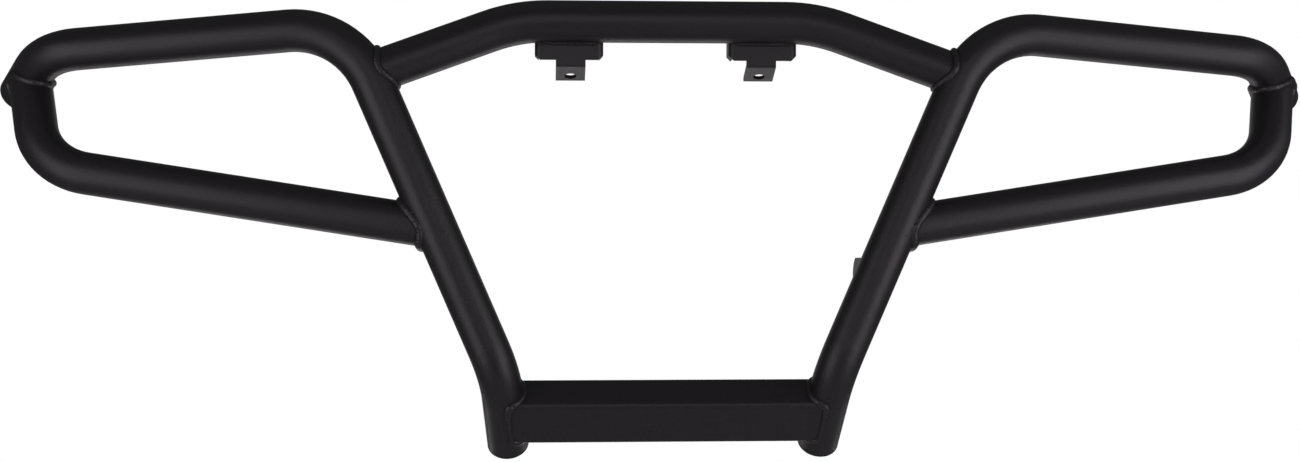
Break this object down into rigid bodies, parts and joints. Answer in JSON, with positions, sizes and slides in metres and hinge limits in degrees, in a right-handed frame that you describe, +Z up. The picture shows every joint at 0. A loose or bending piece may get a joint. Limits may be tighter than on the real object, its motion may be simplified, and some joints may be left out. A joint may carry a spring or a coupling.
{
  "type": "front grille guard",
  "caption": "Welded tube front guard: top bar, two uprights with looped side wings, a low crossmember and bolt-on brackets.",
  "frame": {"origin": "midway between the two upper bolt holes, on the upper face of their sloping tabs", "axes": "+Z up, -Y towards the front of the vehicle, +X along the guard to the right as seen from the front"},
  "size_m": [1.0214, 0.1045, 0.3487],
  "materials": {
    "frame_coat": "fine textured satin black powder coat",
    "bracket_coat": "fine textured satin black powder coat on folded plate",
    "weld_coat": "black powder coat over a rippled weld bead",
    "plug_plastic": "matt moulded black"
  },
  "bodies": {
    "root": {"top_bar": "frame_coat", "upright_left": "frame_coat", "upright_right": "frame_coat", "lower_wing_left": "frame_coat", "lower_wing_right": "frame_coat", "crossmember": "frame_coat", "top_bracket_left": "bracket_coat", "top_bracket_right": "bracket_coat", "side_tab_left": "bracket_coat", "side_tab_right": "bracket_coat", "foot_plug_left": "plug_plastic", "foot_plug_right": "plug_plastic", "wing_plug_left": "plug_plastic", "wing_plug_right": "plug_plastic", "weld_top_bar_left": "weld_coat", "weld_top_bar_right": "weld_coat", "weld_lower_wing_left": "weld_coat", "weld_lower_wing_right": "weld_coat", "weld_wing_tip_left": "weld_coat", "weld_wing_tip_right": "weld_coat", "weld_crossmember_left": "weld_coat", "weld_crossmember_right": "weld_coat", "weld_bracket_left": "weld_coat", "weld_bracket_right": "weld_coat", "weld_side_tab_left": "weld_coat", "weld_side_tab_right": "weld_coat"}
  },
  "joints": []
}
